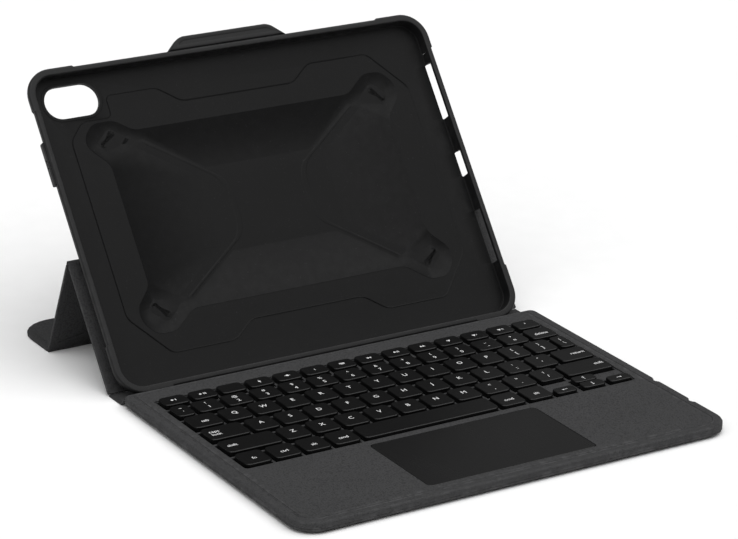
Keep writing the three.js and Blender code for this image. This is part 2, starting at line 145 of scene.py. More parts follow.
class Finish:
    """One material: a Principled shader and the nodes that feed it."""

    def __init__(self, name, **constants):
        self.material = bpy.data.materials.new(name)
        self.material.use_nodes = True
        self.tree = self.material.node_tree
        self.shader = self.tree.nodes["Principled BSDF"]
        for socket, value in constants.items():
            self.shader.inputs[socket.replace("_", " ").title().replace("Ior", "IOR")].default_value = value
        self.place = self.node("ShaderNodeTexCoord", output="Object")

    def node(self, kind, settings=None, values=None, output=0):
        """Adds a node, with its settings first and then its sockets, and returns one output."""
        node = self.tree.nodes.new(kind)
        for setting, value in (settings or {}).items():
            setattr(node, setting, value)
        for socket, value in (values or {}).items():
            if isinstance(value, Wire):
                self.tree.links.new(value.socket, node.inputs[socket])
            else:
                node.inputs[socket].default_value = value
        return Wire(self, node.outputs[output])

    def noise(self, scale, detail=3, rough=0.5, place=None):
        values = {"Vector": place or self.place, "Scale": scale, "Detail": detail, "Roughness": rough}
        return self.node("ShaderNodeTexNoise", {}, values)

    def cells(self, scale, feature="F1", place=None):
        values = {"Vector": place or self.place, "Scale": scale}
        return self.node("ShaderNodeTexVoronoi", {"feature": feature}, values)

    def stretched(self, x, y, z):
        """The place, stretched along an axis by a small factor, for brushed or woven marks."""
        return self.node("ShaderNodeMapping", {}, {"Vector": self.place, "Scale": (x, y, z)})

    def attribute(self, name):
        return self.node("ShaderNodeAttribute", {"attribute_name": name}, output="Fac")

    def mixed(self, factor, first, second):
        values = {0: factor, 6: first, 7: second}
        return self.node("ShaderNodeMix", {"data_type": "RGBA"}, values, output=2)

    def feed(self, socket, wire):
        self.tree.links.new(wire.socket, self.shader.inputs[socket])

    def bump(self, height, distance, strength=1.0):
        values = {"Height": height, "Distance": distance, "Strength": strength}
        self.feed("Normal", self.node("ShaderNodeBump", {}, values))


def grey(level, blue=1.03):
    """A grey that is slightly cool, as black plastics are."""
    return (level, level, level * blue, 1)


# %% [markdown]
# ## Grained skin
# The base and the cover are wrapped in a thin synthetic leather. Its grain is a mosaic of round pebbles
# about half a millimetre across, with darker valleys, over a slow mottle. Voronoi cells give the
# pebbles, and the valleys take the darker colour. Edges that hands rub are a little lighter and smoother.


# %% Grained skin
def skin_finish(name, level, pebble=1500, relief=0.00009):
    finish = Finish(name, specular_ior_level=0.32)
    warp = finish.noise(420, 2)
    pebbles = finish.cells(pebble, "SMOOTH_F1")
    fine = finish.noise(5200, 3, 0.6)
    mottle = finish.noise(38, 4, 0.6).above(0.32, 0.68)
    rubbed = (finish.attribute("edge") * finish.noise(160, 4, 0.65).above(0.35, 0.7)).above(0.1, 0.9)
    valley = (pebbles + warp * 0.25).above(0.42, 0.85)
    cloth = finish.mixed(mottle, grey(level * 0.96), grey(level * 1.04))
    grained = finish.mixed(valley, cloth, grey(level * 0.55))
    speckled = finish.mixed(fine.above(0.6, 0.75) * 0.35, grained, grey(level * 1.9))
    finish.feed("Base Color", finish.mixed(rubbed * 0.5, speckled, grey(level * 1.9)))
    finish.feed("Roughness", 0.72 + fine * 0.16 - rubbed * 0.14)
    finish.bump((1 - pebbles) + fine * 0.5 + warp * 0.3, relief, 0.8)
    return finish.material


deck_skin = skin_finish("deck_skin", 0.037)
cover_skin = skin_finish("cover_skin", 0.034, 1300, 0.0001)
print("skins made")

# %% [markdown]
# ## Moulded rubber and hard plastic
# The rails and bumpers are a soft black elastomer with a spark-eroded mould texture, and the tray floor
# is the same texture in hard plastic. The texture is fine noise in bump and in roughness. Raised edges
# polish with use, so an attribute on the mesh, high where the surface turns, smooths them and lightens
# their colour, which is partly wear and partly a painted highlight along the edges.


# %% Moulded blacks
def moulded_finish(name, level, rough, relief, scale=2600, shine=0.4):
    finish = Finish(name, specular_ior_level=shine)
    spark = finish.noise(scale, 4, 0.62)
    cloud = finish.noise(26, 4, 0.6)
    dust = finish.noise(900, 2).above(0.66, 0.78)
    # Convex edges take a lighter colour: partly wear, partly a painted highlight along the edges.
    wear_and_painted_highlight = finish.attribute("edge") * finish.noise(210, 5, 0.7).above(0.3, 0.75)
    streak = finish.noise(60, 5, 0.65, finish.stretched(1, 9, 9)).above(0.58, 0.8)
    body = finish.mixed(cloud.above(0.3, 0.7), grey(level * 0.92), grey(level * 1.06))
    dusty = finish.mixed(dust * 0.12, body, grey(0.11))
    finish.feed("Base Color", finish.mixed(wear_and_painted_highlight * 0.45, dusty, grey(level * 3.2)))
    finish.feed("Roughness", rough + (spark - 0.5) * 0.22 + streak * 0.07 - wear_and_painted_highlight * 0.12)
    finish.bump(spark + cloud * 0.1, relief, 0.75)
    return finish.material


rubber_black = moulded_finish("rubber_black", 0.008, 0.5, 0.00005, 2400, 0.22)
floor_black = moulded_finish("floor_black", 0.004, 0.52, 0.00003, 3200, 0.12)
hard_black = moulded_finish("hard_black", 0.009, 0.5, 0.00004, 2600, 0.3)
key_black = moulded_finish("key_black", 0.0018, 0.32, 0.000006, 5200, 0.3)
switch_grey = moulded_finish("switch_grey", 0.07, 0.45, 0.00003)
print("moulded blacks made")

# %% [markdown]
# ## Trackpad film, legends and the hidden pieces
# The trackpad is a matt film on glass, marked by fingers moving up and down, so its roughness varies in
# long soft streaks. The legends are white ink with a faint breakup. The board, the dome sheet and the
# cells lie inside the base and are finished too: lacquer over copper tracks, milky rubber, creased foil.


# %% Film, ink, board, domes and foil
def film_finish():
    finish = Finish("trackpad_film", specular_ior_level=0.5)
    matt = finish.noise(6500, 2)
    touched = finish.noise(42, 5, 0.6, finish.stretched(1.6, 0.5, 1)).above(0.4, 0.72)
    finish.feed("Base Color", finish.mixed(touched, grey(0.0022), grey(0.003)))
    finish.feed("Roughness", 0.27 + matt * 0.06 - touched * 0.05)
    finish.bump(matt, 0.000006, 0.5)
    return finish.material


def ink_finish():
    finish = Finish("legend_ink", specular_ior_level=0.3)
    breakup = finish.noise(2400, 4, 0.7).above(0.28, 0.42)
    tone = finish.noise(90, 2)
    whites = finish.mixed(tone, grey(0.62, 1), grey(0.86, 1))
    finish.feed("Base Color", finish.mixed(breakup, grey(0.35), whites))
    finish.feed("Roughness", 0.5 + tone * 0.15)
    finish.bump(breakup, 0.00001, 0.5)
    return finish.material


def board_finish():
    finish = Finish("board_green", coat_weight=0.6, coat_roughness=0.2)
    tracks = finish.cells(220, "DISTANCE_TO_EDGE").above(0.03, 0.06)
    weave = finish.noise(1800, 2, 0.5, finish.stretched(1, 6, 1))
    lacquer = finish.mixed(weave, (0.008, 0.05, 0.022, 1), (0.016, 0.085, 0.04, 1))
    finish.feed("Base Color", finish.mixed(tracks, (0.05, 0.16, 0.06, 1), lacquer))
    finish.feed("Roughness", 0.38 + weave * 0.2)
    finish.bump(1 - tracks + weave * 0.2, 0.00004, 0.6)
    return finish.material


def dome_finish():
    finish = Finish("dome_rubber", specular_ior_level=0.4)
    milk = finish.noise(70, 4)
    pores = finish.cells(1600)
    finish.feed("Base Color", finish.mixed(milk, (0.24, 0.24, 0.22, 1), (0.42, 0.42, 0.39, 1)))
    finish.feed("Roughness", 0.5 + pores * 0.2)
    finish.bump(pores + milk, 0.00005, 0.5)
    return finish.material


def foil_finish():
    finish = Finish("cell_foil", metallic=0.9)
    creases = finish.cells(160, "DISTANCE_TO_EDGE")
    grain = finish.noise(1200, 4, 0.6, finish.stretched(1, 12, 1))
    finish.feed("Base Color", finish.mixed(grain, grey(0.36), grey(0.55)))
    finish.feed("Roughness", 0.3 + grain * 0.22)
    finish.bump(creases.above(0, 0.12) + grain * 0.3, 0.00012, 0.5)
    return finish.material


trackpad_film = film_finish()
legend_ink = ink_finish()
board_green = board_finish()
dome_rubber = dome_finish()
cell_foil = foil_finish()
print(len(bpy.data.materials), "materials")

# %% [markdown]
# ## Drawing helpers
# Nearly every piece is a flat outline with rounded corners that is raised, and then stepped inwards or
# down with inset. A chain of small insets makes a rounded edge or a fillet, because each inset moves in
# and up by a little of a quarter circle. A field is such an outline set into a larger face, and the
# flat between them is filled at the end.


# %% Outlines, steps and fields
def box_corners(left, front, right, back):
    return [(left, front), (right, front), (right, back), (left, back)]


def outline(bm, corners, height, rounding, up=True, segments=5):
    """A flat face through the corners. Rounding is one length, or one for each corner."""
    lengths = rounding if isinstance(rounding, (list, tuple)) else [rounding] * len(corners)
    points = [bm.verts.new((x, y, height)) for x, y in corners]
    face = bm.faces.new(points)
    face.normal_update()
    if (face.normal.z > 0) != up:
        face.normal_flip()
    for point, length in zip(points, lengths):
        if length == 0:
            continue
        made = bmesh.ops.bevel(
            bm,
            geom=[point],
            offset=length,
            offset_type="OFFSET",
            segments=segments,
            profile=0.5,
            affect="VERTICES",
            material=-1,
        )
        face = made["verts"][0].link_faces[0]
    face.normal_update()
    return face


def step(bm, face, *moves):
    """Insets a face again and again, each time in by the first number and out by the second."""
    for inward, outward in moves:
        bmesh.ops.inset_region(
            bm, faces=[face], thickness=inward, depth=outward, use_even_offset=True, use_boundary=True
        )
        face.normal_update()
    return face


def quarter(radius, parts=4):
    """Moves that round an outer edge: first mostly out, then mostly in."""
    angles = [math.pi / 2 * i / parts for i in range(parts + 1)]
    return [
        (radius * (math.cos(a) - math.cos(b)), radius * (math.sin(b) - math.sin(a)))
        for a, b in zip(angles, angles[1:])
    ]


def over(radius, parts=4):
    """Moves that round an edge over into a hollow: first mostly in, then mostly down."""
    return [(outward, -inward) for inward, outward in quarter(radius, parts)]


def fillet(radius, parts=3):
    """Moves down into a concave corner: first mostly down, then mostly in."""
    return [(inward, -outward) for inward, outward in quarter(radius, parts)]


def raise_face(bm, face, height):
    """Makes a solid of a face: its copy goes up by the height, and the face itself looks down."""
    made = bmesh.ops.extrude_face_region(bm, geom=[face], use_keep_orig=True)
    top = next(part for part in made["geom"] if isinstance(part, bmesh.types.BMFace))
    points = list(top.verts)
    bmesh.ops.translate(bm, vec=(0, 0, height), verts=points)
    if face.normal.z > 0:
        face.normal_flip()
    bm.normal_update()
    return top, face


def set_fields(bm, face, fields, up=True):
    """Takes a flat face out and fills the flat again around the fields' rims."""
    rim = list(face.edges)
    bmesh.ops.delete(bm, geom=[face], context="FACES_ONLY")
    for one in fields:
        rim += one
    bmesh.ops.triangle_fill(bm, edges=rim, use_beauty=True, normal=(0, 0, 1 if up else -1))


def field(bm, corners, height, rounding, moves, up=True, segments=3):
    """An outline with its inward steps. Gives its outer rim and its inner face."""
    face = outline(bm, corners, height, rounding, up, segments)
    rim = list(face.edges)
    return rim, step(bm, face, *moves)


# %% [markdown]
# ## Cutting and finishing
# A plane cut takes a rail out of the whole ring: bisect the mesh, drop what lies beyond the plane and
# fill the cut. Openings that pass through a wall at an angle to its face, such as the slots for the
# tablet's sockets, are easier with a boolean. At the end each mesh goes to its place, and how sharply it
# turns is written to an attribute at the corners of its sloping faces, for the worn edges and, on the
# moulded blacks, a painted edge highlight.


# %% Cuts, openings and placing
def cut_away(bm, point, normal):
    """Drops what lies beyond a plane and closes the cut."""
    parts = bm.verts[:] + bm.edges[:] + bm.faces[:]
    bmesh.ops.bisect_plane(
        bm, geom=parts, dist=1e-5, plane_co=point, plane_no=normal, clear_outer=True, clear_inner=False
    )
    open_edges = [edge for edge in bm.edges if edge.is_boundary]
    bmesh.ops.triangle_fill(bm, edges=open_edges, use_beauty=True, normal=normal)


def as_object(bm, name):
    mesh = bpy.data.meshes.new(name)
    bm.to_mesh(mesh)
    bm.free()
    piece = bpy.data.objects.new(name, mesh)
    bpy.context.scene.collection.objects.link(piece)
    return piece


def carve(bm, *tools):
    """Cuts the tools out of a mesh and gives the new mesh."""
    body = as_object(bm, "body")
    cutters = [as_object(tool, "tool") for tool in tools]
    for cutter in cutters:
        cut = body.modifiers.new("cut", "BOOLEAN")
        cut.operation = "DIFFERENCE"
        cut.solver = "EXACT"
        cut.object = cutter
    carved = bmesh.new()
    carved.from_object(body, bpy.context.evaluated_depsgraph_get())
    for used in [body, *cutters]:
        bpy.data.meshes.remove(used.data)
    bmesh.ops.remove_doubles(carved, verts=carved.verts, dist=1e-4)
    return carved


def bar(low, high, edge=0, segments=3):
    """A block between two corners, its edges rounded by an amount."""
    bm = bmesh.new()
    bmesh.ops.create_cube(bm, size=1)
    size = Vector(high) - Vector(low)
    bmesh.ops.scale(bm, vec=size, verts=bm.verts)
    bmesh.ops.translate(bm, vec=Vector(low) + size / 2, verts=bm.verts)
    if edge > 0:
        bmesh.ops.bevel(
            bm,
            geom=bm.edges[:],
            offset=edge,
            offset_type="OFFSET",
            segments=segments,
            profile=0.5,
            affect="EDGES",
            material=-1,
        )
    return bm


def mark_edges(bm):
    """Writes how sharply the surface turns at each corner of a face: 0 on a flat, 1 at 45 degrees.

    Level faces get 0 and are shaded flat, so that the large fields between steps stay even."""
    bm.normal_update()
    turn_at = {}
    for point in bm.verts:
        turns = [edge.calc_face_angle(0) for edge in point.link_edges if edge.is_convex]
        turn_at[point] = min(1, max(turns, default=0) / math.radians(45))
    layer = bm.loops.layers.float.new("edge")
    for face in bm.faces:
        face.smooth = abs(face.normal.z) < 0.9999
        for corner in face.loops:
            corner[layer] = turn_at[corner.vert] if face.smooth else 0


def to_place(bm, name, place, finishes, smooth=40):
    """The finished object of a mesh: in place, shaded, with its finishes."""
    mark_edges(bm)
    bm.transform(place)
    piece = as_object(bm, name)
    for finish in finishes:
        piece.data.materials.append(finish)
    piece.data.set_sharp_from_angle(angle=math.radians(smooth))
    weighted = piece.modifiers.new("even_shading", "WEIGHTED_NORMAL")
    weighted.keep_sharp = True
    print(name, len(piece.data.polygons), "faces")
    return piece


def place_piece(bm, name, place, finishes, body, slot, *replaced, smooth=40):
    piece = to_place(bm, name, place, finishes, smooth)
    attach(piece, body)
    if replaced:
        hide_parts(*replaced)
    return piece


# %% [markdown]
# ## The base's cover
# A sheet of skin lies over the keyboard and rolls down over its edge, and a second one comes up from
# below, so that a fine seam runs along the side. A pressed line follows the edge of the deck. On the
# right the edge has a small tab between two notches, over the charging socket. Each sheet is drawn as
# an open surface with a rolled edge, and gets its thickness before the side window is cut.

# %% Deck cover and under cover
DECK_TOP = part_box("base_top_skin")[1].z / MM
HALF = BASE_WIDTH / 2
SEAM = 3.2
ROLL = 1.4
SHEET = 0.45
FRONT_RADIUS = 14
BACK_RADIUS = 4
TAB_FRONT, TAB_BACK = -152.2, -117.4
NOTCH = 1.6
WELL = box_corners(-122.8, -114.8, 122.8, -14)
pad_low, pad_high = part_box("trackpad")
PAD_FRONT = (pad_low.y - base_high.y) / MM
PAD_BACK = (pad_high.y - base_high.y) / MM
PAD_HALF = (pad_high.x - pad_low.x) / MM / 2


def base_corners(notched):
    corners = [(-HALF, -BASE_DEPTH), (HALF, -BASE_DEPTH)]
    lengths = [FRONT_RADIUS, FRONT_RADIUS]
    if notched:
        notches = [
            (HALF, TAB_FRONT - 1.5),
            (HALF - NOTCH, TAB_FRONT + 0.5),
            (HALF - NOTCH, TAB_FRONT + 2.4),
            (HALF, TAB_FRONT + 4.6),
            (HALF, TAB_BACK - 4.6),
            (HALF - NOTCH, TAB_BACK - 2.4),
            (HALF - NOTCH, TAB_BACK - 0.5),
            (HALF, TAB_BACK + 1.5),
        ]
        corners += notches
        lengths += [0.8] * len(notches)
    return corners + [(HALF, 0), (-HALF, 0)], lengths + [BACK_RADIUS] * 2


def side_window():
    """The gap in the covers' side in front of the socket and the switch."""
    return bar((HALF - 3.4, TAB_FRONT + 1.2, 0.9), (HALF + 5, TAB_BACK - 1.2, 5.8))


def solidified(piece, thickness):
    wall = piece.modifiers.new("thickness", "SOLIDIFY")
    wall.thickness = thickness * MM
    wall.offset = -1
    wall.use_even_offset = True
    return piece


def deck_shape():
    bm = bmesh.new()
    corners, lengths = base_corners(True)
    face = outline(bm, corners, SEAM, lengths, segments=6)
    step(bm, face, (0, DECK_TOP - ROLL - SEAM), *quarter(ROLL))
    pressed = [(0.3, -0.35), (0.5, 0), (0.3, 0.35)]
    groove_at = box_corners(-HALF + 5, -BASE_DEPTH + 5, HALF - 5, -2.6)
    groove, panel = field(bm, groove_at, DECK_TOP, [9, 9, 2, 2], pressed, segments=6)
    collar = [(0.3, 0.14), (0.35, 0.02), *over(0.4, 3), (0, -0.25)]
    well, well_floor = field(bm, WELL, DECK_TOP, 3, collar)
    lip = [*over(0.25, 2), (0, -0.2)]
    pad_at = box_corners(-PAD_HALF - 0.6, PAD_FRONT - 0.6, PAD_HALF + 0.6, PAD_BACK + 0.6)
    pad, pad_floor = field(bm, pad_at, DECK_TOP, 3, lip)
    set_fields(bm, face, [groove])
    set_fields(bm, panel, [well, pad])
    bmesh.ops.delete(bm, geom=[well_floor, pad_floor], context="FACES_ONLY")
    bmesh.ops.solidify(bm, geom=bm.faces[:], thickness=SHEET)
    return bm


def under_shape():
    bm = bmesh.new()
    corners, lengths = base_corners(False)
    face = outline(bm, corners, SEAM - 0.12, lengths, up=False, segments=6)
    step(bm, face, (0, SEAM - 0.12 - 2.1), (0.5, 0.5), (1.2, 0.8), (1.2, 0.6), (0.6, 0.2))
    bmesh.ops.solidify(bm, geom=bm.faces[:], thickness=1.3)
    return bm


place_piece(
    carve(deck_shape(), side_window()),
    "deck_cover", deck_frame, [deck_skin], "base", "deck_skin", "base_top_skin",
)
place_piece(
    carve(under_shape(), side_window()),
    "under_cover", deck_frame, [cover_skin], "base", "cover_skin", "base_bottom_skin", "base_tray",
)

# %% [markdown]
# ## Key caps
# Each key is a low square cap with rounded corners and a very slight dish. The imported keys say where
# every cap is: the caps' top faces are separate islands of the key's mesh, so their boxes are read from
# there. A cap is a block whose upright edges are bevelled first, then its top edges, so both keep their
# own radius. Groups that travel together are one mesh.

# %% Find the caps and shape them
KEY_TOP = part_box("key_a")[1].z / MM
KEY_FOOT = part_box("key_a")[0].z / MM
CAP_BEVEL = 0.6
CAP_CORNER = 2.7


def cap_boxes(name):
    """The caps of a key node as (left, front, right, back), back row first and left to right."""
    bm = bmesh.new()
    bm.from_mesh(nodes[name].data)
    bmesh.ops.remove_doubles(bm, verts=bm.verts, dist=1e-6)
    tops = {face for face in bm.faces if face.normal.z > 0.99 and face.verts[0].co.z > (KEY_TOP - 0.1) * MM}
    boxes = []
    while tops:
        island = [tops.pop()]
        for face in island:
            linked = {other for edge in face.edges for other in edge.link_faces} & tops
            tops -= linked
            island += linked
        xs = [point.co.x / MM for face in island for point in face.verts]
        ys = [(point.co.y - base_high.y) / MM for face in island for point in face.verts]
        grow = CAP_BEVEL
        boxes.append((min(xs) - grow, min(ys) - grow, max(xs) + grow, max(ys) + grow))
    bm.free()
    return sorted(boxes, key=lambda box: (-round(box[1] / 4), box[0]))


def add_cap(bm, box):
    left, front, right, back = box
    corner = min(CAP_CORNER, (back - front) * 0.36)
    face = outline(bm, box_corners(left, front, right, back), KEY_FOOT, corner, up=True, segments=4)
    top, foot = raise_face(bm, face, KEY_TOP - KEY_FOOT - CAP_BEVEL)
    step(bm, top, *quarter(CAP_BEVEL, 3), (0.9, -0.03), (0.9, -0.05))


# %% [markdown]
# ## Legends
# The letters, digits and words are printed in white. Text objects become thin meshes that lie on the
# caps. The small signs of the function row are built from a few marks: discs, rings, bars and
# triangles. All of them are a second material on the caps' own mesh, so they travel with the keys.

# %% Print the legends
INK_RISE = 0.02
LETTER, DIGIT, SIGN, WORD = 4.3, 3.9, 3.3, 3.5


def add_print(bm, printed, x, y, height):
    """Lays a flat printed mesh on the caps as their second material."""
    printed.transform(Matrix.Translation((x, y, height)))
    for polygon in printed.polygons:
        polygon.material_index = 1
    bm.from_mesh(printed)
    bpy.data.meshes.remove(printed)


def write(bm, words, x, y, size, align="CENTER"):
    """Adds printed words to a mesh, in millimetres, with their middle line at y."""
    text = bpy.data.curves.new("legend", "FONT")
    text.body = words
    text.size = size
    text.align_x = align
    text.align_y = "CENTER"
    text.extrude = 0.008
    text.resolution_u = 3
    text.offset = 0.004 * size
    writer = bpy.data.objects.new("legend", text)
    bpy.context.scene.collection.objects.link(writer)
    printed = bpy.data.meshes.new_from_object(writer.evaluated_get(bpy.context.evaluated_depsgraph_get()))
    add_print(bm, printed, x, y, KEY_TOP - 0.05 + INK_RISE)
    bpy.data.curves.remove(text)


SIDES = {"disc": 20, "ring": 24, "bar": 4, "left": 3, "right": 3}
TURNS = {"bar": 45, "left": 180, "right": 0, "disc": 0, "ring": 0}
REACHES = {"bar": math.sqrt(0.5), "left": 0.62, "right": 0.62, "disc": 0.5, "ring": 0.5}


def mark(kind, x, y, width, height, turn):
    """One mark of a sign: a disc, a bar, a ring, or a triangle that points left or right."""
    drawn = bmesh.new()
    shape = Matrix.Diagonal((width, height, 1, 1)) @ Matrix.Rotation(math.radians(TURNS[kind]), 4, "Z")
    place = Matrix.Rotation(math.radians(turn), 4, "Z") @ Matrix.Translation((x, y, 0)) @ shape
    bmesh.ops.create_circle(drawn, cap_ends=True, segments=SIDES[kind], radius=REACHES[kind], matrix=place)
    if kind == "ring":
        disc = drawn.faces[:]
        bmesh.ops.inset_region(drawn, faces=disc, thickness=0.42, use_even_offset=True)
        bmesh.ops.delete(drawn, geom=disc, context="FACES_ONLY")
    sheet = drawn.faces[:]
    body = bmesh.ops.extrude_face_region(drawn, geom=sheet, use_keep_orig=True)["geom"]
    rise = [part for part in body if isinstance(part, bmesh.types.BMVert)]
    bmesh.ops.translate(drawn, vec=(0, 0, 0.016), verts=rise)
    bmesh.ops.recalc_face_normals(drawn, faces=drawn.faces)
    printed = bpy.data.meshes.new("sign")
    drawn.to_mesh(printed)
    drawn.free()
    return printed


def sign(bm, marks, x, y, turn=0):
    for kind, dx, dy, width, height in marks:
        printed = mark(kind, dx, dy, width, height, turn)
        add_print(bm, printed, x, y, KEY_TOP - 0.058 + INK_RISE)


SIGNS = [
    [("disc", -1.4, 0, 1.5, 1.5), ("bar", 0.7, 0, 0.5, 1.9)],
    [("disc", -1.6, 0, 1.5, 1.5), ("bar", 0.5, 0, 0.5, 1.9), ("bar", 1.5, 0, 0.5, 1.9)],
    [("ring", 0, 0, 2.9, 2.4)],
    [("disc", 0, 0, 1.5, 1.5), ("bar", 0, 1.4, 0.3, 0.5), ("bar", 0, -1.4, 0.3, 0.5)],
    [("disc", 0, 0, 1.9, 1.9), ("bar", 1.5, 0, 0.6, 0.3), ("bar", -1.5, 0, 0.6, 0.3)],
    [("ring", 0, 0, 3.2, 1.9), ("bar", 0, 0, 0.3, 1.7)],
    [("bar", 0, 0.7, 3.4, 0.5), ("bar", 0, 0, 3.4, 0.5), ("bar", 0, -0.7, 2.2, 0.4)],
    [("left", -0.8, 0, 1.6, 1.9), ("left", 0.8, 0, 1.6, 1.9)],
    [("right", -0.8, 0, 1.8, 2), ("bar", 0.8, 0, 0.4, 1.9), ("bar", 1.6, 0, 0.4, 1.9)],
    [("right", -0.8, 0, 1.6, 1.9), ("right", 0.8, 0, 1.6, 1.9)],
    [("left", 0, 0, 2.2, 2.3), ("bar", -0.8, 0, 0.8, 0.9)],
    [("left", -0.5, 0, 2.2, 2.3), ("bar", 1.3, 0, 0.35, 1.2)],
    [("left", -0.8, 0, 2.2, 2.3), ("bar", 0.9, 0, 0.3, 1.2), ("bar", 1.7, 0, 0.3, 2)],
    [("ring", 0, 0, 2.7, 2.7), ("bar", 0, 0.9, 0.4, 1.3)],
]
DIGITS = ["~`", "!1", "@2", "#3", "$4", "%5", "^6", "&7", "*8", "(9", ")0", "_-", "+="]
GROUP_WORDS = {
    "left_modifiers": ["tab", "caps\nlock", "shift", "fn", "ctrl", "alt", "cmd"],
    "right_modifiers": ["{[", "}]", "|\\", ":;", "\"'", "return", "<,", ">.", "?/", "shift", "cmd", "alt"],
}
ARROW = [("bar", -0.3, 0, 2.4, 0.35), ("right", 1.1, 0, 1.2, 1.4)]
ARROW_TURNS = [90, 180, 270, 0]


def print_cap(bm, box, words):
    """Prints one cap: two signs one over the other, a letter, or a word at the cap's outer side."""
    left, front, right, back = box
    x, y = (left + right) / 2, (front + back) / 2
    if len(words) == 2 and not words.isalnum():
        write(bm, words[0], x, y + 2.7, SIGN)
        write(bm, words[1], x, y - 2.4, DIGIT)
    elif len(words) == 1:
        write(bm, words, x, y + 0.8, LETTER)
    elif right - left > 18:
        outer = x < 0
        write(bm, words, left + 2.6 if outer else right - 2.6, y, WORD, "LEFT" if outer else "RIGHT")
    else:
        write(bm, words, x, y - 1.2, WORD)


def make_keys(name):
    bm = bmesh.new()
    boxes = cap_boxes(name)
    for box in boxes:
        add_cap(bm, box)
    for index, box in enumerate(boxes):
        x, y = (box[0] + box[2]) / 2, (box[1] + box[3]) / 2
        if name == "function_row":
            sign(bm, SIGNS[index], x, y)
        elif name == "arrow_keys":
            sign(bm, ARROW, x, y, ARROW_TURNS[index])
        elif name == "number_row":
            print_cap(bm, box, (DIGITS + ["delete"])[index])
        elif name in GROUP_WORDS:
            print_cap(bm, box, GROUP_WORDS[name][index])
        elif name != "key_space":
            print_cap(bm, box, name[-1].upper())
    place_piece(bm, name + "_caps", deck_frame, [key_black, legend_ink], name, "key_black", name)


KEY_NODES = [name for name in nodes if name.startswith("key_")]
for name in KEY_NODES + ["function_row", "number_row", "left_modifiers", "right_modifiers", "arrow_keys"]:
    make_keys(name)

# %% [markdown]
# ## Trackpad, socket, switch and what lies inside
# The trackpad is one glass plate with a hair of a bevel. The charging socket is an oval mouth with a
# tongue in it, and the switch beside it is a ribbed slider. The tray, the key plate, the board, the
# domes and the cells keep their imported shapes, which are right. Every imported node, shown or not, takes
# the finish of its material slot. The key plate alone carries the deck's skin, which is what shows
# between the keys.

# %% Small parts of the base
PAD_TOP = pad_high.z / MM


def trackpad_shape():
    bm = bmesh.new()
    corners = box_corners(-PAD_HALF, PAD_FRONT, PAD_HALF, PAD_BACK)
    face = outline(bm, corners, pad_low.z / MM, 2.6, segments=6)
    top, foot = raise_face(bm, face, PAD_TOP - pad_low.z / MM - 0.2)
    step(bm, top, *quarter(0.2, 3), (0.8, 0))
    return bm


def socket_shape():
    low, high = (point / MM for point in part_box("charge_socket"))
    shift = base_high.y / MM
    front, back = low.y - shift, high.y - shift
    middle = (front + back) / 2
    body = bar((low.x, front, low.z), (high.x - 0.3, back, 5.7), 0.25, 2)
    mouth = bar((high.x - 7, middle - 4.5, 2.0), (high.x + 1, middle + 4.5, 5.2), 1.55, 5)
    shaped = carve(body, mouth)
    tongue = bar((high.x - 7.4, middle - 3.35, 3.2), (high.x - 1, middle + 3.35, 4.0), 0.2, 2)
    loose = bpy.data.meshes.new("tongue")
    tongue.to_mesh(loose)
    tongue.free()
    shaped.from_mesh(loose)
    bpy.data.meshes.remove(loose)
    return shaped


def switch_shape():
    low, high = (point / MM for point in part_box("power_switch"))
    shift = base_high.y / MM
    front, back = low.y - shift, high.y - shift
    body = bar((low.x, front, low.z), (high.x, back, high.z), 0.3, 3)
    ribs = [
        bar((high.x - 0.35, front + at, low.z - 1), (high.x + 1, front + at + 0.45, high.z + 1))
        for at in (1.1, 2.0, 2.9, 3.8)
    ]
    return carve(body, *ribs)


place_piece(
    trackpad_shape(), "trackpad_plate", deck_frame, [trackpad_film], "trackpad", "pad_black", "trackpad"
)
place_piece(
    socket_shape(), "socket_block", deck_frame, [hard_black], "base", "socket_black", "charge_socket"
)
place_piece(
    switch_shape(), "switch_slider", deck_frame, [switch_grey],
    "power_switch", "switch_grey", "power_switch",
)

SLOT_FINISHES = {
    "cover_skin": cover_skin,
    "deck_skin": deck_skin,
    "hard_black": hard_black,
    "rubber_black": rubber_black,
    "key_black": key_black,
    "pad_black": trackpad_film,
    "dome_rubber": dome_rubber,
    "board_green": board_green,
    "cell_silver": cell_foil,
    "socket_black": hard_black,
    "switch_grey": switch_grey,
}
for part in frame["record"]["subparts"]:
    slot = "deck_skin" if part["node"] == "deck_plate" else part["material_slot"]
    materials = nodes[part["node"]].data.materials
    materials.clear()
    materials.append(SLOT_FINISHES[slot])

# %% [markdown]
# ## The tablet tray
# The tray is one moulding in two materials: a hard floor and a rubber rim. Its section is made once, as
# a chain of insets: up the outside, round the lip, down the inner wall and round the fillet to the
# floor, and on the other side the long chamfer that lets the tray stand close to the table. The rails
# and the bumpers are cut from that ring by planes. The bumpers start from a slightly larger outline, so
# they stand proud and end in a small slope.

# %% The ring's section
TRAY_HALF = (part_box("rail_right")[1].x) / MM
TRAY_HEIGHT = 187.5
TRAY_RADIUS = 15
WALL_LOW, WALL_HIGH = -2.7, -1.3
TRAY_BACK = -9.3
RAIL_FOOT = -6.6
PROUD = 0.8


def tray_block(grow):
    """The whole tray as one solid, grown sideways. Gives it with its inner floor and its back face."""
    bm = bmesh.new()
    corners = box_corners(-TRAY_HALF - grow, -grow, TRAY_HALF + grow, TRAY_HEIGHT + grow)
    face = outline(bm, corners, WALL_LOW, TRAY_RADIUS + grow, segments=12)
    lip, back = raise_face(bm, face, WALL_HIGH - WALL_LOW)
    rim = [*quarter(1.3), (1.3 + grow, 0), *over(0.7, 3), (0.15, -5.1), (0.05, -0.6), *fillet(0.8)]
    step(bm, lip, *rim)
    rise = WALL_LOW - TRAY_BACK
    step(bm, back, (0.2, 0.5), (0.6, 0.35), (4.2, rise - 1.2), (0.25, 0.35))
    return bm, lip, back


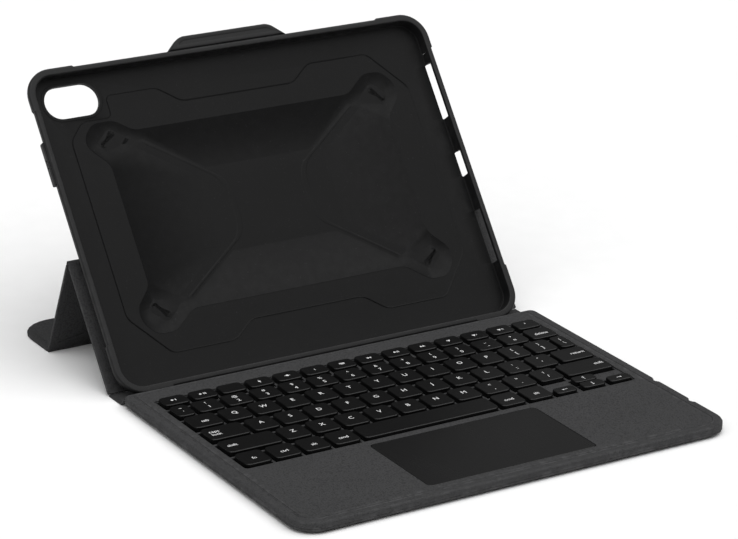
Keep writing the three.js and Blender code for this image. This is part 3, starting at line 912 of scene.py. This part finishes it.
GAP = 0.3
SEAM_GAP = 0.06
END_SLOPE = 0.55
ARM_ACROSS, ARM_TOP, ARM_BOTTOM = 30, 22, 29
ARM_X = TRAY_HALF - ARM_ACROSS
ARM_LOW, ARM_HIGH = ARM_BOTTOM, TRAY_HEIGHT - ARM_TOP
SLOTS = [(33, 65.5), (87, 102), (123, 157)]
BUTTON_LOW, BUTTON_HIGH = 122.4, 147.6


def arm_end(side, end, upright, gap):
    """The sloping plane between a bumper's arm and its rail."""
    if upright:
        point = Vector((side * TRAY_HALF, ARM_HIGH if end > 0 else ARM_LOW, 0))
        normal = Vector((side * END_SLOPE, -end, 0)).normalized()
    else:
        point = Vector((side * ARM_X, TRAY_HEIGHT if end > 0 else 0, 0))
        normal = Vector((-side, end * END_SLOPE, 0)).normalized()
    return point + normal * gap, normal


def ring_part(grow, planes):
    """A length of the ring between planes, each a point and the direction that is dropped."""
    bm = tray_block(grow)[0]
    for point, normal in planes:
        cut_away(bm, Vector(point), Vector(normal).normalized())
    cut_away(bm, Vector((0, 0, RAIL_FOOT)), Vector((0, 0, -1)))
    return bm


def slot_tools():
    return [bar((TRAY_HALF - 12, low, -POCKET), (TRAY_HALF + 20, high, -2), 0.6, 2) for low, high in SLOTS]


def rail(name, planes, tools=()):
    bm = ring_part(0, planes)
    if tools:
        bm = carve(bm, *tools)
    place_piece(bm, name + "_moulding", tray_frame, [rubber_black], "shell", "rubber_black", name)


def rail_ends(ends):
    """The two planes that end a rail. Each is a bumper's end plane, seen from the other side."""
    planes = [arm_end(side, end, upright, SEAM_GAP) for side, end, upright in ends]
    return [(point, -normal) for point, normal in planes]


button_hole = bar((-TRAY_HALF - 9, BUTTON_LOW - GAP, -6.1), (-100, BUTTON_HIGH + GAP, -1.6), 0.3, 2)
upright_left = rail_ends([(-1, -1, True), (-1, 1, True)])
upright_right = rail_ends([(1, -1, True), (1, 1, True)])
level_top = rail_ends([(-1, 1, False), (1, 1, False)])
level_bottom = rail_ends([(-1, -1, False), (1, -1, False)])
rail("rail_left", [((-60, 0, 0), (1, 0, 0)), *upright_left], [button_hole])
rail("rail_right", [((60, 0, 0), (-1, 0, 0)), *upright_right], slot_tools())
rail("rail_top", [((0, 90, 0), (0, -1, 0)), *level_top])
rail("rail_bottom", [((0, 90, 0), (0, 1, 0)), *level_bottom])

# %% [markdown]
# ## Corner bumpers
# The four bumpers are the same ring at the corners. Their ends slope, so that the step to the rail
# catches the light as a short line.

# %% Four bumpers
def bumper(name, side, end):
    """A corner: side is -1 at the left and 1 at the right, end is -1 below and 1 above."""
    planes = [arm_end(side, end, upright, 0) for upright in (True, False)]
    bm = ring_part(PROUD, planes)
    place_piece(bm, name + "_moulding", tray_frame, [rubber_black], "shell", "rubber_black", name)


for name, side, end in (
    ("bumper_bottom_left", -1, -1),
    ("bumper_bottom_right", 1, -1),
    ("bumper_top_left", -1, 1),
    ("bumper_top_right", 1, 1),
):
    bumper(name, side, end)

# %% [markdown]
# ## The tray's floor
# The floor has the armour pattern of such cases: a fine stepped outline, and inside it a sunk panel with
# a lobe at each corner, a short bar across each lobe, and two low brackets that open outwards. Each is
# a field: an outline with its own rounded corners and inward steps. The camera looks out through a pill
# shaped hole with a raised rim at the upper left, and the outline gives way to it there.

# %% The floor plate
ARMOUR_MIDDLE = 94.9
CAMERA = (-101.7, 169.8)
FLOOR = -POCKET
LINE_DROP, PANEL_DROP, PANEL_SLOPE = 0.4, 0.85, 4.2
BACK_RIM = 0.12  # low enough to clear the flap when the cover is folded up behind the tray
PILL_SEGMENTS = 12


def pill_corners(x, y, length, width):
    return box_corners(x - length / 2, y - width / 2, x + length / 2, y + width / 2)


def raised(points):
    return [(x, y + ARMOUR_MIDDLE) for x, y in points]


def mirrored(points, x=1, y=1):
    """Points mirrored across one or both middle lines, in the order that keeps the outline's turn."""
    turned = [(x * a, y * b) for a, b in points]
    return turned[::-1] if x * y < 0 else turned


def outer_line():
    """The stepped outline, anticlockwise from the middle of its lower side."""
    quarter_line = [(36, -65.5), (49, -75.3), (88.5, -75.3), (109, -51.7)]
    by_camera = [(-81, 75.3), (-81, 62.4), (-99.5, 62.4), (-109, 52.5)]
    right = quarter_line + mirrored(quarter_line, 1, -1)
    left = [(-36, 65.5), (-49, 75.3)] + by_camera + mirrored(quarter_line, -1, 1)
    return raised(right + left)


def sunk_panel():
    """The armour panel with a lobe at each corner."""
    lobe = [(68.4, -53), (82.8, -63.8), (93.8, -63.3), (100.3, -55.5), (100.4, -46.9), (90, -35.6)]
    low_lobe = [(-90, 35.6), (-100.4, 46.9), (-100.3, 53.6), (-93.8, 60.4), (-80.6, 60.4), (-70.2, 53)]
    right = lobe + mirrored(lobe, 1, -1)
    left = low_lobe[::-1] + mirrored(lobe, -1, 1)
    return raised(right + left)


def lobe_bar(x, y):
    """A short bar across a lobe. x and y are the lobe's signs."""
    ends = [(83.0, 54.2), (91.2, 46.6)]
    half = 1.5
    (ax, ay), (bx, by) = ends
    run = Vector((bx - ax, by - ay)).normalized() * half
    side = Vector((-run.y, run.x))
    near = [(ax - side.x, ay - side.y), (bx - side.x, by - side.y)]
    far = [(bx + side.x, by + side.y), (ax + side.x, ay + side.y)]
    return raised(mirrored(near + far, x, y))


def bracket(side):
    """A low bracket that opens towards its side."""
    outer = [(71, 46.6), (29, 17), (26.4, 8), (26.4, -8), (29, -17), (71, -46.6)]
    inner = [(66, -46.6), (24.4, -17.8), (21.4, -9), (21.4, 9), (24.4, 17.8), (66, 46.6)]
    return raised(mirrored(inner + outer, side, 1))


def floor_shape():
    bm, lip, back = tray_block(0)
    level = FLOOR
    rim_moves = [*quarter(0.5, 3), (0.6, 0)]
    rim_at = pill_corners(*CAMERA, 36.6, 22.6)
    camera_rim = field(bm, rim_at, level, 10.8, rim_moves, segments=PILL_SEGMENTS)[0]
    line, inner = field(bm, outer_line(), level, 3, [(0.7, -LINE_DROP)])
    level -= LINE_DROP
    slope = [(0.3, -0.14), (PANEL_SLOPE - 0.9, 0.24 - PANEL_DROP), (0.3, -0.08), (0.3, -0.02)]
    panel, bottom = field(bm, sunk_panel(), level, 3, slope)
    level -= PANEL_DROP
    ridge = [(0.5, 0.16), (0.35, 0.16), (0.5, 0.06)]
    bends = [0, 3.8, 3.8, 3.8, 3.8, 0] * 2
    brackets = [field(bm, bracket(side), level, bends, ridge)[0] for side in (-1, 1)]
    bars = [
        field(bm, lobe_bar(x, y), level, 0.3, [(0.9, 0.34), (0.2, 0.03)], segments=2)[0]
        for x in (-1, 1)
        for y in (-1, 1)
    ]
    set_fields(bm, lip, [camera_rim, line])
    set_fields(bm, inner, [panel])
    set_fields(bm, bottom, brackets + bars)
    back_level = TRAY_BACK
    pressed = [(0.5, -0.35), (0.4, 0), (0.5, 0.35)]
    back_line, _ = field(bm, outer_line(), back_level, 3, pressed, up=False)
    around_at = pill_corners(*CAMERA, 35.4, 21.4)
    low_rim = [(0.3, BACK_RIM), (0.4, 0)]
    around = field(bm, around_at, back_level, 10.2, low_rim, up=False, segments=PILL_SEGMENTS)[0]
    set_fields(bm, back, [back_line, around], up=False)
    cut_away(bm, Vector((0, 0, RAIL_FOOT - 0.2)), Vector((0, 0, 1)))
    hole = bmesh.new()
    pill = outline(hole, pill_corners(*CAMERA, 33, 19), TRAY_BACK - 3, 9.4, segments=PILL_SEGMENTS)
    raise_face(hole, pill, 9)
    return carve(bm, hole, *slot_tools())


place_piece(
    floor_shape(), "tray_floor", tray_frame, [floor_black], "shell", "hard_black", "shell_plate", smooth=28
)

# %% [markdown]
# ## Button cover and stylus guard
# The power button lies under a rubber pad with three small ribs in the left rail. On the top rail a
# trapezoid guard keeps a stylus in place. Both are outlines that are raised and rounded on both faces.

# %% Pad and guard
def button_shape():
    low, high = -5.8, -1.9
    pad = bar((-TRAY_HALF - PROUD, BUTTON_LOW, low), (-TRAY_HALF + 3.6, BUTTON_HIGH, high), 0.7, 3)
    middle = (BUTTON_LOW + BUTTON_HIGH) / 2
    ribs = [
        bar((-TRAY_HALF - 5, middle + at, low + 1), (-TRAY_HALF - 0.45, middle + at + 0.7, high - 1))
        for at in (-2.4, -0.35, 1.7)
    ]
    return carve(pad, *ribs)


def guard_shape():
    foot = TRAY_HEIGHT + GAP
    bm = bmesh.new()
    corners = [(-38, foot), (38, foot), (29, foot + 7.8), (-29, foot + 7.8)]
    face = outline(bm, corners, -5.4, [0, 0, 3.2, 3.2], segments=6)
    top, back = raise_face(bm, face, 3.3)
    step(bm, top, *quarter(1.1), (1.2, 0), (0.3, -0.25), (0.3, -0.05))
    step(bm, back, *quarter(1.2))
    return bm


place_piece(
    button_shape(), "button_pad", tray_frame, [rubber_black],
    "power_button_cover", "rubber_black", "power_button_cover",
)
place_piece(
    guard_shape(), "stylus_guard_moulding", tray_frame, [rubber_black],
    "shell", "rubber_black", "stylus_guard",
)

# %% [markdown]
# ## The cover: back panel, leg and flap
# The cover is stiff board wrapped in skin, in three lengths. A pressed seam runs a few millimetres in
# from each edge on both sides. The flap has large round corners at its end, and a window that meets the
# camera when the cover is folded up flat.

# %% Three panels
COVER = 1.6
SEAM_IN = 4.6


def panel_shape(corners, lengths, middle, window=None):
    bm = bmesh.new()
    half = COVER / 2
    face = outline(bm, corners, middle - half + 0.45, lengths, segments=6)
    top, foot = raise_face(bm, face, COVER - 0.9)
    (left, low), (right, high) = corners[0], corners[2]
    seam_at = box_corners(left + SEAM_IN, low + SEAM_IN, right - SEAM_IN, high - SEAM_IN)
    seam_round = [max(length - SEAM_IN, 0.6) for length in lengths]
    pressed = [(0.3, -0.12), (0.25, -0.03), (0.3, 0.15)]
    for side, up in ((top, True), (foot, False)):
        step(bm, side, *quarter(0.45, 3))
        level = middle + (half if up else -half)
        seam, _ = field(bm, seam_at, level, seam_round, pressed, up, segments=8)
        set_fields(bm, side, [seam], up)
    if not window:
        return bm
    hole = bmesh.new()
    pill = outline(hole, pill_corners(*window, 30, 19), middle - 3, 9.4, segments=PILL_SEGMENTS)
    raise_face(hole, pill, 6)
    return carve(bm, hole)


PANEL_START, LEG_FOLD_AT = 4.9, 81
LEG_LENGTH = (flap_fold - leg_fold).length / MM
LEG_CLEAR, FLAP_CLEAR = 1.7, 1.1
FLAP_END = 41
panel_corners = box_corners(-HALF, PANEL_START, HALF, LEG_FOLD_AT - LEG_CLEAR)
leg_corners = box_corners(-HALF, LEG_CLEAR, HALF, LEG_LENGTH - FLAP_CLEAR)
flap_corners = box_corners(-HALF, FLAP_CLEAR, HALF, FLAP_END)
PANEL_MIDDLE = TRAY_BACK - GAP - COVER / 2
flap_window = (-100.7, 169.8 - LEG_FOLD_AT - LEG_LENGTH)
back_shape = panel_shape(panel_corners, [1] * 4, PANEL_MIDDLE)
leg_shape = panel_shape(leg_corners, [1] * 4, 0)
flap_shape = panel_shape(flap_corners, [1, 1, 20, 20], 0, flap_window)
panels = [
    ("back_cover", back_shape, tray_frame, "shell", "back_panel"),
    ("leg_cover", leg_shape, leg_frame, "leg", "leg_panel"),
    ("flap_cover", flap_shape, flap_frame, "flap", "flap_panel"),
]
for name, bm, place, body, node in panels:
    place_piece(bm, name, place, [cover_skin], body, "cover_skin", node)

# %% [markdown]
# ## Creases and spine
# Where the cover folds, the skin alone runs round the fold. Each crease is half of the cover's
# thickness, spun about the hinge from one panel's outer face to the other's. The spine between the
# base and the tray is wider: it dips from the base's back edge to the table and runs under the tray.

# %% Bending strips
def blend_piece(bm, name, place, node, thickness=None):
    strip = to_place(bm, name, place, [cover_skin], smooth=60)
    strip.modifiers.clear()
    if thickness:
        solidified(strip, thickness)
    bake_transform(strip)
    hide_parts(node)


def turned(angle, length):
    """A length at an angle in the plane across the hinge, measured from y towards z."""
    return Vector((0, length * math.cos(angle), length * math.sin(angle)))


def points_of(parts):
    return [part for part in parts if isinstance(part, bmesh.types.BMVert)]


def crease_shape(start, end, tail):
    """Half the cover's thickness, spun about the hinge between two outward directions."""
    bm = bmesh.new()
    width = HALF - 0.3
    sense = 1 if end < start else -1
    tail_in = turned(start + sense * math.pi / 2, tail)
    tail_out = turned(end - sense * math.pi / 2, tail)
    near, far = turned(start, 0.1) + tail_in, turned(start, COVER / 2) + tail_in
    corners = [(-width, near), (width, near), (width, far), (-width, far)]
    face = bm.faces.new([bm.verts.new((x, at.y, at.z)) for x, at in corners])
    first = bmesh.ops.extrude_face_region(bm, geom=[face], use_keep_orig=True)["geom"]
    bmesh.ops.translate(bm, vec=-tail_in, verts=points_of(first))
    fold = [part for part in first if isinstance(part, bmesh.types.BMFace)]
    last = bmesh.ops.spin(
        bm, geom=fold, cent=(0, 0, 0), axis=(1, 0, 0), angle=end - start, steps=12, use_merge=False
    )["geom_last"]
    folded = [part for part in last if isinstance(part, bmesh.types.BMFace)]
    final = bmesh.ops.extrude_face_region(bm, geom=folded)["geom"]
    bmesh.ops.translate(bm, vec=tail_out, verts=points_of(final))
    bmesh.ops.recalc_face_normals(bm, faces=bm.faces)
    return bm


def angle_in(place, direction):
    """The angle of a direction in a frame, from its y towards its z."""
    local = place.to_3x3().inverted() @ direction
    return math.atan2(local.z, local.y) % (2 * math.pi)


leg_out = ACROSS.cross(leg_along)
leg_start = angle_in(leg_frame, lip_out)
flap_start = angle_in(flap_frame, -leg_out)
blend_piece(
    crease_shape(leg_start, math.pi / 2, LEG_CLEAR + 0.1),
    "leg_crease_strip", leg_frame,
    "leg_crease",
)
blend_piece(
    crease_shape(flap_start, 1.5 * math.pi, FLAP_CLEAR + 0.1),
    "flap_crease_strip", flap_frame,
    "flap_crease",
)


SPINE_THICK = 0.8
SPINE_LOW = 0.9  # the sheet's upper face where it lies on the table, a little over its thickness


def spine_shape():
    """A sheet that dips from the base's back edge to the table and runs under the tray."""
    bm = bmesh.new()
    width = HALF - 0.5
    drop, reach_in, along = 4.0, 5.0, 11.0
    curve = [(0.35 + reach_in * (1 - math.cos(a)), SPINE_LOW + drop * (1 - math.sin(a)))
             for a in (math.pi / 2 * i / 8 for i in range(9))]
    flat = [(0.35 + reach_in + along * i / 8, SPINE_LOW) for i in range(1, 9)]
    path = [(-3.4, 4.9), (-1.4, 4.9)] + curve + flat
    ends = [bm.verts.new((x, *path[0])) for x in (width, -width)]
    edge = bm.edges.new(ends)
    for before, after in zip(path, path[1:]):
        made = bmesh.ops.extrude_edge_only(bm, edges=[edge])["geom"]
        move = (0, after[0] - before[0], after[1] - before[1])
        bmesh.ops.translate(bm, vec=move, verts=points_of(made))
        edge = next(part for part in made if isinstance(part, bmesh.types.BMEdge))
    return bm


blend_piece(
    spine_shape(), "spine_cover", deck_frame,
    "spine_fabric", SPINE_THICK,
)

# %% [markdown]
# ## Floor, light and camera
# The case stands on a pale floor. One wide, soft light from high on the front right gives the sheen on
# the right-hand keys and rails, and a weaker one from the left lifts the dark tray. The surroundings
# are dim, so the blacks stay deep while the two lights bring the floor to white. The camera looks down
# on the open case from its left front corner with a long lens.

# %% Floor and lights
def floor_finish():
    finish = Finish("pale_floor", specular_ior_level=0.1)
    paper = finish.noise(60, 4)
    finish.feed("Base Color", finish.mixed(paper, grey(0.86, 1), grey(0.9, 1)))
    finish.feed("Roughness", 0.8 + paper * 0.1)
    return finish.material


floor_bm = bmesh.new()
bmesh.ops.create_grid(floor_bm, x_segments=4, y_segments=4, size=6)
floor = as_object(floor_bm, "floor")
floor.data.materials.append(floor_finish())

world = bpy.data.worlds.new("dim_room")
world.use_nodes = True
world.node_tree.nodes["Background"].inputs["Color"].default_value = (1, 1, 1, 1)
world.node_tree.nodes["Background"].inputs["Strength"].default_value = 0.16
bpy.context.scene.world = world
bpy.context.scene.view_settings.view_transform = "Standard"


def soft_sun(name, azimuth, elevation, strength, angle):
    """A wide, soft, far light. Azimuth 0 is in front of the case, 90 on its right."""
    light = bpy.data.lights.new(name, "SUN")
    light.energy = strength
    light.angle = math.radians(angle)
    lamp = bpy.data.objects.new(name, light)
    round_case, up = math.radians(azimuth), math.radians(elevation)
    out = math.cos(up)
    place = Vector((math.sin(round_case) * out, -math.cos(round_case) * out, math.sin(up)))
    lamp.rotation_euler = place.to_track_quat("Z", "Y").to_euler()
    bpy.context.scene.collection.objects.link(lamp)


soft_sun("room_light", 40, 70, 2.6, 80)
soft_sun("side_light", -75, 48, 1.0, 60)
print("lights made")

# %% Camera
VIEW_AZIMUTH, VIEW_ELEVATION, VIEW_ROLL = map(math.radians, (-32.344, 20.749, 1.364))
LOOK_AT = Vector((0.08037, 0.12258, 0.0085))
DISTANCE = 1.90815
back_out = Vector((
    math.sin(VIEW_AZIMUTH) * math.cos(VIEW_ELEVATION),
    -math.cos(VIEW_AZIMUTH) * math.cos(VIEW_ELEVATION),
    math.sin(VIEW_ELEVATION),
))
lens = bpy.data.cameras.new("camera")
lens.lens = 159
lens.sensor_width = 36
camera = bpy.data.objects.new("camera", lens)
camera.location = LOOK_AT + back_out * DISTANCE
level = (-back_out).to_track_quat("-Z", "Y").to_matrix()
camera.rotation_euler = (level @ Matrix.Rotation(VIEW_ROLL, 3, "Z")).to_euler()
bpy.context.scene.collection.objects.link(camera)
bpy.context.scene.camera = camera
print("camera", [round(at, 3) for at in camera.location])
